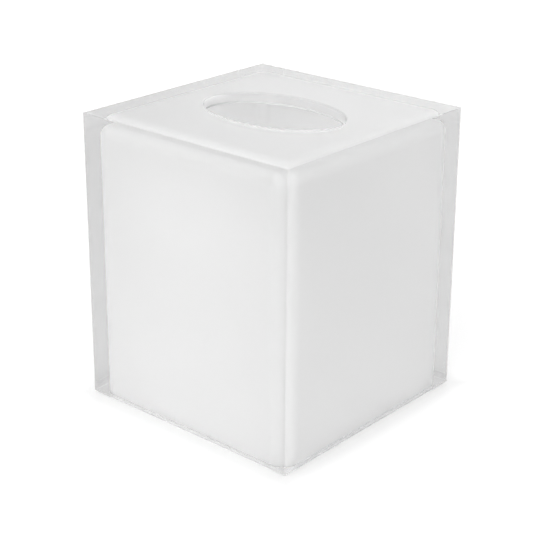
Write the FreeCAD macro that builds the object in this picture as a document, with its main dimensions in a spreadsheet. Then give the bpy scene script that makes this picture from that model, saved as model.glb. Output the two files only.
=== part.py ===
import FreeCAD, Part
import math
import os
import Sketcher

# Boutique tissue box cover. A clear acrylic block is cast around a thin white liner with
# rounded edges. The block is open underneath and an oval slot goes through its top. Four
# clear stick-on bumpers keep it off the table.
#
# Frame: +Z is up, and the origin is at the centre of the footprint, on the surface that the
# cover stands on. X runs along the slot's long axis. Sizes are in millimetres.

DRIVING_SIZES = (
    ("block_width", "133.35", "outside width and depth of the square block"),
    ("block_height", "152.4", "height of the block, without its bumpers"),
    ("wall_clear", "6.35", "clear acrylic between the liner and each outside wall"),
    ("wall_top", "5", "clear acrylic between the liner and the block's top"),
    ("wall_liner", "1", "thickness of the white liner"),
    ("core_radius", "7", "outside radius of the liner's upright and top edges"),
    ("upright_edge_radius", "0.6", "polished radius of the block's four upright edges"),
    ("polish_radius", "0.3", "polished break of the block's top and bottom edges"),
    ("slot_length", "82.5", "length of the oval slot, along X"),
    ("slot_width", "52.5", "width of the oval slot, along Y"),
    ("rim_radius", "0.8", "polished radius of the slot's upper rim"),
    ("bumper_diameter", "8", "diameter of a stick-on bumper"),
    ("bumper_height", "1", "height of a bumper"),
    ("bumper_foot_radius", "0.3", "rounding around a bumper's foot"),
    ("bumper_inset", "6.5", "from the block's outside faces to a bumper's centre"),
)

BUMPER_CORNERS = (
    ("bumper_front_left", -1, -1),
    ("bumper_front_right", 1, -1),
    ("bumper_back_right", 1, 1),
    ("bumper_back_left", -1, 1),
)

CORE_WIDTH = "Sizes.block_width - 2 * Sizes.wall_clear"
CORE_HEIGHT = "Sizes.block_height - Sizes.wall_top"
TOLERANCE = 0.001


def make_sizes(doc):
    """Put every driving dimension in a spreadsheet, one aliased row each."""
    sheet = doc.addObject("Spreadsheet::Sheet", "Sizes")
    for row, (alias, value, note) in enumerate(DRIVING_SIZES, start=1):
        sheet.set(f"A{row}", alias)
        sheet.set(f"B{row}", value)
        sheet.setAlias(f"B{row}", alias)
        sheet.set(f"C{row}", note)
    doc.recompute()
    return sheet


def make_body(doc, name):
    """Start a sub-part that stands on the bumpers' upper faces."""
    body = doc.addObject("PartDesign::Body", name)
    body.Label = name
    body.setExpression("Placement.Base.z", "Sizes.bumper_height")
    return body


def ground_sketch(body, name):
    """Add a sketch on the body's own XY plane."""
    sketch = body.newObject("Sketcher::SketchObject", name)
    planes = [item for item in body.Origin.OriginFeatures if item.Role == "XY_Plane"]
    sketch.AttachmentSupport = [(planes[0], "")]
    sketch.MapMode = "FlatFace"
    return sketch


def square_sketch(body, name, width_expression, start_width):
    """Sketch a square centred on the body's origin."""
    sketch = ground_sketch(body, name)
    half = start_width / 2
    signs = ((-1, -1), (1, -1), (1, 1), (-1, 1))
    corners = [FreeCAD.Vector(half * sign_x, half * sign_y, 0) for sign_x, sign_y in signs]
    for index, corner in enumerate(corners):
        sketch.addGeometry(Part.LineSegment(corner, corners[(index + 1) % 4]))
    for index in range(4):
        sketch.addConstraint(Sketcher.Constraint("Coincident", index, 2, (index + 1) % 4, 1))
        direction = "Horizontal" if index % 2 == 0 else "Vertical"
        sketch.addConstraint(Sketcher.Constraint(direction, index))
    sketch.addConstraint(Sketcher.Constraint("Symmetric", 0, 1, 1, 2, -1, 1))
    for line in (0, 1):
        size = sketch.addConstraint(Sketcher.Constraint("Distance", line, start_width))
        sketch.renameConstraint(size, f"side_{line}")
        sketch.setExpression(f"Constraints.side_{line}", width_expression)
    return sketch


def oval_sketch(body, name, sheet):
    """Sketch the slot's ellipse, centred on the body's origin with its long axis along X."""
    sketch = ground_sketch(body, name)
    long_half = sheet.slot_length / 2
    short_half = sheet.slot_width / 2
    centre = FreeCAD.Vector(0, 0, 0)
    oval = Part.Ellipse(FreeCAD.Vector(long_half, 0, 0), FreeCAD.Vector(0, short_half, 0), centre)
    sketch.addGeometry(oval)
    sketch.exposeInternalGeometry(0)
    sketch.addConstraint(Sketcher.Constraint("Coincident", 0, 3, -1, 1))
    sketch.addConstraint(Sketcher.Constraint("Horizontal", 1))
    for line, alias in ((1, "slot_length"), (2, "slot_width")):
        size = sketch.addConstraint(Sketcher.Constraint("Distance", line, getattr(sheet, alias)))
        sketch.renameConstraint(size, alias)
        sketch.setExpression(f"Constraints.{alias}", f"Sizes.{alias}")
    return sketch


def pad_up(body, name, sketch, height_expression):
    """Pad a sketch upwards."""
    pad = body.newObject("PartDesign::Pad", name)
    pad.Profile = sketch
    pad.setExpression("Length", height_expression)
    body.Document.recompute()
    return pad


def pocket_up(body, name, sketch, height_expression):
    """Cut a sketch upwards from the body's base, and make sure that it removes material."""
    volume_before = body.Shape.Volume
    pocket = body.newObject("PartDesign::Pocket", name)
    pocket.Profile = sketch
    pocket.Reversed = True
    pocket.setExpression("Length", height_expression)
    body.Document.recompute()
    if body.Shape.Volume > volume_before - 1:
        raise RuntimeError(f"{body.Label}: {name} cuts nothing")
    return pocket


def fillet_edges(body, name, radius_expression, wanted):
    """Round every edge of the body's last feature for which wanted(edge) is true."""
    base = body.Tip
    local_edges = base.Shape.Edges
    names = [f"Edge{index}" for index, edge in enumerate(local_edges, start=1) if wanted(edge)]
    if not names:
        raise RuntimeError(f"{body.Label}: {name} finds no edges")
    fillet = body.newObject("PartDesign::Fillet", name)
    fillet.Base = (base, names)
    fillet.setExpression("Radius", radius_expression)
    body.Document.recompute()
    return fillet


def shell_from_below(body, name, thickness_expression):
    """Hollow the body out to an even wall, and leave its underside open."""
    base = body.Tip
    faces = enumerate(base.Shape.Faces, start=1)
    undersides = [f"Face{index}" for index, face in faces if is_level(face, 0)]
    shell = body.newObject("PartDesign::Thickness", name)
    shell.Base = (base, undersides)
    shell.Reversed = True
    shell.setExpression("Value", thickness_expression)
    body.Document.recompute()
    return shell


def is_level(item, height):
    """Tell whether an edge or a face lies wholly at one height."""
    box = item.BoundBox
    return abs(box.ZMin - height) < TOLERANCE and abs(box.ZMax - height) < TOLERANCE


def is_upright(edge, reach):
    """Tell whether an edge is a vertical line in a square's corner, reach from the middle."""
    box = edge.BoundBox
    misses = [abs(abs(place) - reach) for place in (box.Center.x, box.Center.y)]
    return max(misses) < TOLERANCE and box.ZLength > 1


def make_clear_block(doc, sheet):
    """The clear casting: a square block with a rounded hollow that is open underneath."""
    body = make_body(doc, "clear_block")
    width = sheet.block_width
    height = sheet.block_height
    core_width = width - 2 * sheet.wall_clear
    core_height = height - sheet.wall_top

    outline = square_sketch(body, "block_outline", "Sizes.block_width", width)
    pad_up(body, "block_pad", outline, "Sizes.block_height")
    fillet_edges(
        body, "upright_edges", "Sizes.upright_edge_radius",
        lambda edge: is_upright(edge, width / 2),
    )
    fillet_edges(
        body, "polished_edges", "Sizes.polish_radius",
        lambda edge: is_level(edge, height) or is_level(edge, 0),
    )

    hollow = square_sketch(body, "hollow_outline", CORE_WIDTH, core_width)
    pocket_up(body, "hollow_pocket", hollow, CORE_HEIGHT)
    fillet_edges(
        body, "hollow_edges", "Sizes.core_radius",
        lambda edge: is_upright(edge, core_width / 2) or is_level(edge, core_height),
    )

    slot = oval_sketch(body, "slot_outline", sheet)
    pocket_up(body, "slot_pocket", slot, "Sizes.block_height")
    slot_girth = sheet.slot_length * 2
    fillet_edges(
        body, "slot_rim", "Sizes.rim_radius",
        lambda edge: is_level(edge, height) and edge.Length > slot_girth,
    )
    return body


def make_white_liner(doc, sheet):
    """The white shell inside the block, which touches it all over and shows through it."""
    body = make_body(doc, "white_liner")
    core_width = sheet.block_width - 2 * sheet.wall_clear
    core_height = sheet.block_height - sheet.wall_top

    outline = square_sketch(body, "liner_outline", CORE_WIDTH, core_width)
    pad_up(body, "liner_pad", outline, CORE_HEIGHT)
    fillet_edges(
        body, "liner_edges", "Sizes.core_radius",
        lambda edge: is_upright(edge, core_width / 2) or is_level(edge, core_height),
    )
    shell_from_below(body, "liner_shell", "Sizes.wall_liner")

    slot = oval_sketch(body, "slot_outline_liner", sheet)
    pocket_up(body, "slot_pocket_liner", slot, "Sizes.block_height")
    return body


def make_bumper(doc, sheet, name, side_x, side_y):
    """A clear disc stuck under one corner of the block."""
    body = doc.addObject("PartDesign::Body", name)
    body.Label = name
    reach = "(Sizes.block_width / 2 - Sizes.bumper_inset)"
    body.setExpression("Placement.Base.x", f"{side_x} * {reach}")
    body.setExpression("Placement.Base.y", f"{side_y} * {reach}")

    sketch = ground_sketch(body, name + "_outline")
    radius = sheet.bumper_diameter / 2
    sketch.addGeometry(Part.Circle(FreeCAD.Vector(0, 0, 0), FreeCAD.Vector(0, 0, 1), radius))
    sketch.addConstraint(Sketcher.Constraint("Coincident", 0, 3, -1, 1))
    size = sketch.addConstraint(Sketcher.Constraint("Diameter", 0, sheet.bumper_diameter))
    sketch.renameConstraint(size, "diameter")
    sketch.setExpression("Constraints.diameter", "Sizes.bumper_diameter")
    pad_up(body, name + "_pad", sketch, "Sizes.bumper_height")
    fillet_edges(body, name + "_foot", "Sizes.bumper_foot_radius", lambda edge: is_level(edge, 0))
    return body


def check_document(doc, bodies):
    """Stop if anything failed to compute or a sub-part isn't one valid solid."""
    doc.recompute()
    for item in doc.Objects:
        if "Invalid" in item.State or "Error" in item.State:
            raise RuntimeError(f"{item.Name} failed: {item.State}")
    for body in bodies:
        shape = body.Shape
        if shape.isNull() or not shape.isValid() or len(shape.Solids) != 1:
            raise RuntimeError(f"{body.Label} isn't one valid solid")


def expected_volumes(sheet):
    """Work out the block's and the liner's volumes by hand, as if no edge were rounded."""
    oval_area = math.pi / 4 * sheet.slot_length * sheet.slot_width
    core_width = sheet.block_width - 2 * sheet.wall_clear
    core_height = sheet.block_height - sheet.wall_top
    cavity_width = core_width - 2 * sheet.wall_liner
    cavity_height = core_height - sheet.wall_liner
    block = sheet.block_width ** 2 * sheet.block_height - core_width ** 2 * core_height
    block -= oval_area * sheet.wall_top
    liner = core_width ** 2 * core_height - cavity_width ** 2 * cavity_height
    liner -= oval_area * sheet.wall_liner
    return {"clear_block": block, "white_liner": liner}


def write_parts(bodies, volumes):
    """Export each sub-part to its own STEP file and print its volume."""
    os.makedirs("parts", exist_ok=True)
    for body in bodies:
        body.Shape.exportStep(f"parts/{body.Label}.step")
        line = f"{body.Label}: {body.Shape.Volume:.1f} mm3"
        if body.Label in volumes:
            line += f", {volumes[body.Label]:.1f} with square edges"
        print(line)


def main():
    doc = FreeCAD.newDocument("tissue_box_cover")
    sheet = make_sizes(doc)
    bodies = [make_clear_block(doc, sheet), make_white_liner(doc, sheet)]
    for name, side_x, side_y in BUMPER_CORNERS:
        bodies.append(make_bumper(doc, sheet, name, side_x, side_y))
    check_document(doc, bodies)
    write_parts(bodies, expected_volumes(sheet))


main()
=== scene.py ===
import math

import bmesh
import bpy
from mathutils import Matrix, Vector


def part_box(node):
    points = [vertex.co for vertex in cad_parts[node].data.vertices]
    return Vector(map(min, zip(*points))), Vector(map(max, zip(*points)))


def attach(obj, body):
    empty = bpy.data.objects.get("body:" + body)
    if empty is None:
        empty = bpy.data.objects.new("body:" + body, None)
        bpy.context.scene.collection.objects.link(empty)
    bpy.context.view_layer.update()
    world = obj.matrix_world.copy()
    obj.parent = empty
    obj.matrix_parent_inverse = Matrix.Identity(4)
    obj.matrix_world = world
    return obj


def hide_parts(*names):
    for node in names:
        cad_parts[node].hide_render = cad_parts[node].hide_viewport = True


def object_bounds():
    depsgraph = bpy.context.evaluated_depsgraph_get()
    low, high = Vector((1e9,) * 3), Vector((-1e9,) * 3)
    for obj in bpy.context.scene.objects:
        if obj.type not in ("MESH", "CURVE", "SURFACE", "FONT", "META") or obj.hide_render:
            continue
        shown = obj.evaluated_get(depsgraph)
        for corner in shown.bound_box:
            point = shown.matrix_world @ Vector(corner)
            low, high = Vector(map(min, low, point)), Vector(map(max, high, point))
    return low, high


# A boutique tissue box cover: a clear acrylic block cast around a white liner, with an oval
# slot through its top, standing on four clear bumpers on a pale studio floor. Metres, +Z up.

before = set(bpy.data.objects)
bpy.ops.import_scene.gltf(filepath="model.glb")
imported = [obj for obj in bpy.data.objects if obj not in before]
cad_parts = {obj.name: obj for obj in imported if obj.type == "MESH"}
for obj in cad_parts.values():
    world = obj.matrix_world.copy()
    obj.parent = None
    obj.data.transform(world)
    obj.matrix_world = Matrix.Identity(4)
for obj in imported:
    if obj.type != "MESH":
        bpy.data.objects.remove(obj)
cad_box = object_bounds()

MM = 0.001
BODY = "root"
BUMPERS = ("bumper_front_left", "bumper_front_right", "bumper_back_right", "bumper_back_left")

# Sizes that the boxes of the CAD nodes don't give.
CORE_RADIUS = 7.0 * MM
UPRIGHT_RADIUS = 0.6 * MM
POLISH_RADIUS = 0.3 * MM
LINER_WALL = 1.0 * MM
SLOT_HALF_X = 41.25 * MM
SLOT_HALF_Y = 26.25 * MM
RIM_RADIUS = 0.8 * MM
LINER_SAW_RADIUS = 0.15 * MM
BUMPER_FOOT_RADIUS = 0.3 * MM
BUMPER_CROWN_RADIUS = 0.1 * MM

# The casting grips the liner: its hollow is this much inside the liner's surface, so that no
# film of air lies between the two.
GRIP = 0.15 * MM

# The liner's sawn edges stand this proud of the block, in the slot and underneath.
LINER_PROUD = 0.05 * MM

# A bumper's upper face is this far under the block, so that the block's polished base mirrors.
BUMPER_GAP = 0.03 * MM

# How finely the rounded shapes are cut.
SLOT_STEPS = 160
BUMPER_STEPS = 48
CORE_STEPS = 14
EDGE_STEPS = 6
SMOOTH_ANGLE = math.radians(32)

# The core's quarter rounds stop just short of their radius, so that the corners of their last
# ring don't shrink to a point.
NEARLY = 0.999

block_low, block_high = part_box("clear_block")
liner_low, liner_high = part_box("white_liner")
block_half = block_high.x
liner_half = liner_high.x
block_centre = (block_low + block_high) / 2


# ---------------------------------------------------------------- mesh helpers

def rounded_square(half, radius, steps):
    """Corners of a square outline with rounded corners, anticlockwise from above."""
    points = []
    for quarter in range(4):
        middle = math.radians(45 + 90 * quarter)
        centre_x = math.copysign(half - radius, math.cos(middle))
        centre_y = math.copysign(half - radius, math.sin(middle))
        for step in range(steps + 1):
            angle = math.radians(90 * (quarter + step / steps))
            points.append((centre_x + radius * math.cos(angle), centre_y + radius * math.sin(angle)))
    return points


def oval(half_x, half_y, steps):
    """Corners of an ellipse, anticlockwise from above."""
    turns = [2 * math.pi * step / steps for step in range(steps)]
    return [(half_x * math.cos(turn), half_y * math.sin(turn)) for turn in turns]


def ring(mesh, points, height):
    """Add one closed loop of vertices at a height."""
    return [mesh.verts.new((x, y, height)) for x, y in points]


def skin(mesh, rings):
    """Join each ring to the next one with a band of quads, and return the quads."""
    quads = []
    for lower, upper in zip(rings, rings[1:]):
        for index, corner in enumerate(lower):
            after = (index + 1) % len(lower)
            quads.append(mesh.faces.new((corner, lower[after], upper[after], upper[index])))
    return quads


def ring_edges(loop):
    """The edges of one ring, which already exist in its mesh."""
    pairs = zip(loop, loop[1:] + loop[:1])
    return [next(edge for edge in start.link_edges if end in edge.verts) for start, end in pairs]


def cap(mesh, outer, inner=None):
    """Fill a flat face inside one ring, or between two."""
    edges = ring_edges(outer)
    if inner:
        edges += ring_edges(inner)
    bmesh.ops.triangle_fill(mesh, use_beauty=True, edges=edges)


def quarter_turn(radius, steps):
    """How far a quarter round has come in, and gone up, after each of its steps."""
    angles = [math.pi / 2 * step / steps for step in range(steps + 1)]
    return [(radius * (1 - math.cos(angle)), radius * math.sin(angle)) for angle in angles]


def finish_piece(mesh, name, materials, replaced):
    """Turn a bmesh into a named piece with exact normals that stands for its CAD node."""
    bmesh.ops.recalc_face_normals(mesh, faces=mesh.faces)
    for face in mesh.faces:
        face.smooth = True
    data = bpy.data.meshes.new(name)
    mesh.to_mesh(data)
    mesh.free()
    data.set_sharp_from_angle(angle=SMOOTH_ANGLE)
    for material in materials:
        data.materials.append(material)
    piece = bpy.data.objects.new(name, data)
    bpy.context.scene.collection.objects.link(piece)
    weighted = piece.modifiers.new("weighted_normals", "WEIGHTED_NORMAL")
    weighted.keep_sharp = True
    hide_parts(replaced)
    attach(piece, BODY)
    return piece


# ---------------------------------------------------------------- pieces

def make_block(polished, milled):
    """The clear casting: a polished square block over a rounded hollow, with the oval slot."""
    mesh = bmesh.new()
    floor_z = block_low.z
    top_z = block_high.z

    outside = []
    for inset, rise in reversed(quarter_turn(POLISH_RADIUS, EDGE_STEPS)):
        outline = rounded_square(block_half - inset, UPRIGHT_RADIUS - inset, EDGE_STEPS)
        outside.append(ring(mesh, outline, floor_z + POLISH_RADIUS - rise))
    for inset, rise in quarter_turn(POLISH_RADIUS, EDGE_STEPS):
        outline = rounded_square(block_half - inset, UPRIGHT_RADIUS - inset, EDGE_STEPS)
        outside.append(ring(mesh, outline, top_z - POLISH_RADIUS + rise))
    skin(mesh, outside)

    hollow_half = liner_half - GRIP
    hollow_radius = CORE_RADIUS - GRIP
    hollow_top = liner_high.z - GRIP
    hollow = [ring(mesh, rounded_square(hollow_half, hollow_radius, CORE_STEPS), floor_z)]
    hollow_round = hollow_radius * NEARLY
    for inset, rise in quarter_turn(hollow_round, CORE_STEPS):
        outline = rounded_square(hollow_half - inset, hollow_radius - inset, CORE_STEPS)
        hollow.append(ring(mesh, outline, hollow_top - hollow_round + rise))
    skin(mesh, hollow)

    slot_wall = [ring(mesh, oval(SLOT_HALF_X, SLOT_HALF_Y, SLOT_STEPS), hollow_top)]
    for inset, rise in quarter_turn(RIM_RADIUS, EDGE_STEPS):
        outline = oval(SLOT_HALF_X + inset, SLOT_HALF_Y + inset, SLOT_STEPS)
        slot_wall.append(ring(mesh, outline, top_z - RIM_RADIUS + rise))
    for face in skin(mesh, slot_wall[:2]):
        face.material_index = 1
    skin(mesh, slot_wall[1:])

    cap(mesh, outside[-1], slot_wall[-1])
    cap(mesh, hollow[-1], slot_wall[0])
    cap(mesh, outside[0], hollow[0])
    return finish_piece(mesh, "cast_block", [polished, milled], "clear_block")


def make_liner(satin, sawn):
    """The white liner: a thin shell with rounded upright and top edges, open underneath."""
    mesh = bmesh.new()
    floor_z = liner_low.z - LINER_PROUD
    top_z = liner_high.z

    shells = []
    for wall in (0, LINER_WALL):
        half = liner_half - wall
        radius = CORE_RADIUS - wall
        shell = [ring(mesh, rounded_square(half, radius, CORE_STEPS), floor_z)]
        for inset, rise in quarter_turn(radius * NEARLY, CORE_STEPS):
            outline = rounded_square(half - inset, radius - inset, CORE_STEPS)
            shell.append(ring(mesh, outline, top_z - wall - radius * NEARLY + rise))
        skin(mesh, shell)
        shells.append(shell)

    half_x = SLOT_HALF_X - LINER_PROUD
    half_y = SLOT_HALF_Y - LINER_PROUD
    slot_wall = []
    for inset, rise in reversed(quarter_turn(LINER_SAW_RADIUS, EDGE_STEPS)):
        outline = oval(half_x + inset, half_y + inset, SLOT_STEPS)
        slot_wall.append(ring(mesh, outline, top_z - LINER_WALL + LINER_SAW_RADIUS - rise))
    slot_wall.append(ring(mesh, oval(half_x, half_y, SLOT_STEPS), top_z))
    # The liner's edge in the slot takes the sawn material, whose darker white is painted shade.
    for face in skin(mesh, slot_wall):
        face.material_index = 1

    outer, inner = shells
    cap(mesh, outer[-1], slot_wall[-1])
    cap(mesh, inner[-1], slot_wall[0])
    cap(mesh, outer[0], inner[0])
    return finish_piece(mesh, "opal_liner", [satin, sawn], "white_liner")


def make_bumper(node, material):
    """A clear disc with a rounded foot and a slightly softened upper edge."""
    mesh = bmesh.new()
    low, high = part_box(node)
    centre = (low + high) / 2
    radius = (high.x - low.x) / 2
    profile = []
    for inset, rise in reversed(quarter_turn(BUMPER_FOOT_RADIUS, EDGE_STEPS)):
        profile.append((radius - inset, low.z + BUMPER_FOOT_RADIUS - rise))
    for inset, rise in quarter_turn(BUMPER_CROWN_RADIUS, EDGE_STEPS):
        profile.append((radius - inset, high.z - BUMPER_GAP - BUMPER_CROWN_RADIUS + rise))
    rings = []
    for reach, height in profile:
        outline = [(centre.x + x, centre.y + y) for x, y in oval(reach, reach, BUMPER_STEPS)]
        rings.append(ring(mesh, outline, height))
    skin(mesh, rings)
    cap(mesh, rings[0])
    cap(mesh, rings[-1])
    return finish_piece(mesh, node + "_disc", [material], node)


# ---------------------------------------------------------------- materials

CLEAR_TINT = 0.86
ACRYLIC_IOR = 1.49
VINYL_IOR = 1.53

# How deep buffing leaves the polished faces wavy, and how far light spreads inside the liner.
BUFFING_RIPPLE = 0.002 * MM
OPAL_DEPTH = 7 * MM


def new_material(name):
    """A node material, its Principled shader and its links."""
    material = bpy.data.materials.new(name)
    material.use_nodes = True
    return material, material.node_tree.nodes["Principled BSDF"]


def noise(material, scale, detail):
    """A noise texture in object space, so that its grain is the same size on every piece."""
    nodes = material.node_tree.nodes
    place = nodes.new("ShaderNodeTexCoord")
    texture = nodes.new("ShaderNodeTexNoise")
    texture.inputs["Scale"].default_value = scale
    texture.inputs["Detail"].default_value = detail
    material.node_tree.links.new(place.outputs["Object"], texture.inputs["Vector"])
    return texture


def vary(material, texture, socket, low, high):
    """Let a texture drive a shader's socket between two values."""
    spread = material.node_tree.nodes.new("ShaderNodeMapRange")
    spread.inputs["From Min"].default_value = 0.3
    spread.inputs["From Max"].default_value = 0.7
    spread.inputs["To Min"].default_value = low
    spread.inputs["To Max"].default_value = high
    material.node_tree.links.new(texture.outputs["Fac"], spread.inputs["Value"])
    material.node_tree.links.new(spread.outputs["Result"], socket)


def ripple(material, texture, shader, depth):
    """Let a texture raise and lower the surface by up to depth metres."""
    bump = material.node_tree.nodes.new("ShaderNodeBump")
    bump.inputs["Strength"].default_value = 1.0
    bump.inputs["Distance"].default_value = depth
    material.node_tree.links.new(texture.outputs["Fac"], bump.inputs["Height"])
    material.node_tree.links.new(bump.outputs["Normal"], shader.inputs["Normal"])


def clear_acrylic(name, smoothest, roughest):
    """Cast acrylic: clear with a faint neutral tint, and very slightly wavy from buffing."""
    material, shader = new_material(name)
    shader.inputs["Base Color"].default_value = (CLEAR_TINT, CLEAR_TINT, CLEAR_TINT, 1.0)
    shader.inputs["IOR"].default_value = ACRYLIC_IOR
    shader.inputs["Transmission Weight"].default_value = 1.0
    vary(material, noise(material, 35.0, 3.0), shader.inputs["Roughness"], smoothest, roughest)
    ripple(material, noise(material, 60.0, 2.0), shader, BUFFING_RIPPLE)
    return material


def opal_acrylic(name, white, glow_through):
    """White opal acrylic: satin, and thin enough for light to come through where it isn't sawn."""
    material, shader = new_material(name)
    shader.inputs["Base Color"].default_value = (white, white, white, 1.0)
    shader.inputs["IOR"].default_value = ACRYLIC_IOR
    shader.inputs["Specular IOR Level"].default_value = 0.0
    shader.inputs["Subsurface Weight"].default_value = glow_through
    shader.inputs["Subsurface Radius"].default_value = (1.0, 1.0, 1.0)
    shader.inputs["Subsurface Scale"].default_value = OPAL_DEPTH
    vary(material, noise(material, 240.0, 4.0), shader.inputs["Roughness"], 0.38, 0.52)
    return material


def clear_vinyl():
    """Soft clear vinyl, a little hazy."""
    material, shader = new_material("clear_vinyl_hazy")
    shader.inputs["Base Color"].default_value = (0.95, 0.95, 0.95, 1.0)
    shader.inputs["IOR"].default_value = VINYL_IOR
    shader.inputs["Transmission Weight"].default_value = 0.9
    vary(material, noise(material, 300.0, 3.0), shader.inputs["Roughness"], 0.18, 0.35)
    return material


# ---------------------------------------------------------------- studio

FLOOR_HALF = 3.0
FLOOR_WHITE = 0.6

# The floor is a light table that glows evenly all round. Inside the hollow its glow is raised, a
# painted pool of light, and along the cover's foot it is lowered, a painted shadow.
FLOOR_GLOW = 0.40
PAINTED_HOLLOW_LIGHT_GLOW = 0.65
PAINTED_FOOT_SHADOW_GLOW = 0.26
HOLLOW_FADE = 12 * MM
FOOT_FADE = 16 * MM

# The studio's light: where each soft lobe comes from, in degrees round from +X and up from the
# floor, how strong it is at its middle, and how tightly it is gathered there.
STUDIO_LIGHT = (
    (270, 12, 2.16, 3.0),
    (315, 12, 2.22, 3.0),
    (225, 12, 1.14, 3.0),
    (90, 12, 1.43, 3.0),
    (135, 12, 0.35, 3.0),
    (135, 50, 0.53, 8.0),
    (90, 50, 0.63, 8.0),
    (0, 50, 0.78, 8.0),
)


def maths(tree, operation, first, second):
    """A maths node on two inputs, each a socket or a number."""
    node = tree.nodes.new("ShaderNodeMath")
    node.operation = operation
    for socket, value in zip(node.inputs, (first, second)):
        if isinstance(value, (int, float)):
            socket.default_value = value
        else:
            tree.links.new(value, socket)
    return node.outputs[0]


def along(tree, direction, axis):
    """How far a direction goes along an axis."""
    node = tree.nodes.new("ShaderNodeVectorMath")
    node.operation = "DOT_PRODUCT"
    node.inputs[1].default_value = axis
    tree.links.new(direction, node.inputs[0])
    return node.outputs["Value"]


def fade(tree, distance, start, end, low, high):
    """Go smoothly from one value to another as a distance goes from start to end."""
    node = tree.nodes.new("ShaderNodeMapRange")
    node.interpolation_type = "SMOOTHSTEP"
    for name, value in (("From Min", start), ("From Max", end), ("To Min", low), ("To Max", high)):
        node.inputs[name].default_value = value
    tree.links.new(distance, node.inputs["Value"])
    return node.outputs["Result"]


def floor_glow_with_painted_light_and_shadow(tree):
    """How strongly the floor glows: painted light inside the hollow, a painted shadow along the
    foot.
    """
    place = tree.nodes.new("ShaderNodeTexCoord").outputs["Object"]
    across = maths(tree, "ABSOLUTE", along(tree, place, (1, 0, 0)), 0)
    back = maths(tree, "ABSOLUTE", along(tree, place, (0, 1, 0)), 0)
    distance = maths(tree, "MAXIMUM", across, back)
    wall = liner_half - LINER_WALL
    # Painted light: the glow is raised inside the hollow and fades to the painted shadow's level at
    # the liner's wall.
    inside = fade(tree, distance, wall - HOLLOW_FADE, wall, PAINTED_HOLLOW_LIGHT_GLOW, PAINTED_FOOT_SHADOW_GLOW)
    # Painted shadow: the glow is low along the cover's foot and rises to the floor's even glow
    # further out.
    outside = fade(tree, distance, block_half, block_half + FOOT_FADE, 0, FLOOR_GLOW - PAINTED_FOOT_SHADOW_GLOW)
    return maths(tree, "ADD", inside, outside)


def make_floor():
    """A pale, matt light table. Its own glow keeps shadows faint, but a painted shadow dims it along
    the cover's foot and painted light brightens it inside the hollow.
    """
    mesh = bmesh.new()
    bmesh.ops.create_grid(mesh, x_segments=1, y_segments=1, size=FLOOR_HALF)
    data = bpy.data.meshes.new("floor")
    mesh.to_mesh(data)
    mesh.free()
    floor = bpy.data.objects.new("floor", data)
    floor.location.z = cad_box[0][2]
    bpy.context.scene.collection.objects.link(floor)
    material, shader = new_material("floor_white")
    shader.inputs["Base Color"].default_value = (FLOOR_WHITE, FLOOR_WHITE, FLOOR_WHITE, 1.0)
    shader.inputs["Roughness"].default_value = 0.9
    shader.inputs["Specular IOR Level"].default_value = 0.0
    shader.inputs["Emission Color"].default_value = (1.0, 1.0, 1.0, 1.0)
    # The glow carries the painted light inside the hollow and the painted shadow along the cover's
    # foot.
    glow = floor_glow_with_painted_light_and_shadow(material.node_tree)
    material.node_tree.links.new(glow, shader.inputs["Emission Strength"])
    data.materials.append(material)


def lobe(tree, direction, turn, rise, strength, power):
    """Light that is strongest in one direction and falls off as a power of the cosine."""
    turn = math.radians(turn)
    rise = math.radians(rise)
    level = math.cos(rise)
    middle = (level * math.cos(turn), level * math.sin(turn), math.sin(rise))
    ahead = maths(tree, "MAXIMUM", along(tree, direction, middle), 0)
    falloff = maths(tree, "POWER", ahead, power)
    return maths(tree, "MULTIPLY", falloff, strength)


def make_world():
    """Soft light from all round, made of a few wide lobes."""
    world = bpy.data.worlds.new("studio")
    world.use_nodes = True
    tree = world.node_tree
    background = tree.nodes["Background"]
    background.inputs["Color"].default_value = (1.0, 1.0, 1.0, 1.0)
    direction = tree.nodes.new("ShaderNodeTexCoord").outputs["Generated"]
    total = 0
    for turn, rise, strength, power in STUDIO_LIGHT:
        total = maths(tree, "ADD", lobe(tree, direction, turn, rise, strength, power), total)
    tree.links.new(total, background.inputs["Strength"])
    bpy.context.scene.world = world


CAMERA_AZIMUTH = math.radians(41.398)
CAMERA_ELEVATION = math.radians(20.981)
CAMERA_ROLL = math.radians(0.199)
CAMERA_DISTANCE = 5.550
CAMERA_AIM = (-0.0241, 0.0624)
CAMERA_SHIFT_Y = -0.0563
LENS_PER_SENSOR = 2.6957
SENSOR = 36.0


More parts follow.
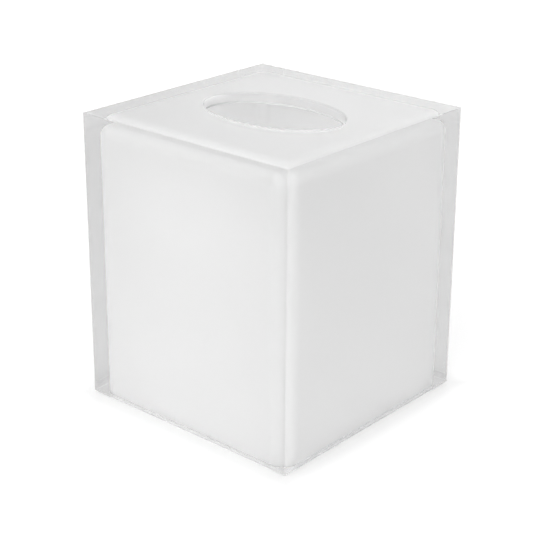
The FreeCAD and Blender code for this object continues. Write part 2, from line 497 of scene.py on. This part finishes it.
def make_camera():
    """A long lens that looks down on the block's corner. Distances are in block widths."""
    width = 2 * block_half
    azimuth = CAMERA_AZIMUTH
    elevation = CAMERA_ELEVATION
    level = Vector((-math.sin(azimuth), math.cos(azimuth), 0))
    forward = level * math.cos(elevation) - Vector((0, 0, math.sin(elevation)))
    right = Vector((math.cos(azimuth), math.sin(azimuth), 0))
    up = right.cross(forward)
    roll = CAMERA_ROLL
    rolled_right = right * math.cos(roll) + up * math.sin(roll)
    rolled_up = up * math.cos(roll) - right * math.sin(roll)
    aim = block_centre + width * (CAMERA_AIM[0] * rolled_right + CAMERA_AIM[1] * rolled_up)

    camera = bpy.data.cameras.new("camera")
    camera.sensor_width = SENSOR
    camera.lens = LENS_PER_SENSOR * SENSOR
    camera.shift_y = CAMERA_SHIFT_Y
    eye = bpy.data.objects.new("camera", camera)
    eye.location = aim - forward * CAMERA_DISTANCE * width
    eye.rotation_euler = Matrix((rolled_right, rolled_up, -forward)).transposed().to_euler()
    bpy.context.scene.collection.objects.link(eye)
    bpy.context.scene.camera = eye


def set_light_paths():
    """Enough bounces for light to cross the block, and tones shown as they are."""
    scene = bpy.context.scene
    scene.view_settings.view_transform = "Standard"
    scene.cycles.max_bounces = 20
    scene.cycles.transmission_bounces = 20
    scene.cycles.diffuse_bounces = 8
    scene.cycles.glossy_bounces = 8


polished_acrylic = clear_acrylic("clear_acrylic_polished", 0.004, 0.02)
milled_acrylic = clear_acrylic("clear_acrylic_milled", 0.42, 0.58)
satin_opal = opal_acrylic("opal_acrylic_satin", 0.97, 1.0)
# The sawn edge takes no light through, as a sawn edge would, and its white is lowered to 0.56, a
# painted shade line along the slot's edge.
sawn_opal_painted_shade = opal_acrylic("opal_acrylic_sawn_painted_shade", 0.56, 0.0)
vinyl = clear_vinyl()
make_block(polished_acrylic, milled_acrylic)
make_liner(satin_opal, sawn_opal_painted_shade)
for bumper in BUMPERS:
    make_bumper(bumper, vinyl)
make_floor()
make_world()
make_camera()
set_light_paths()
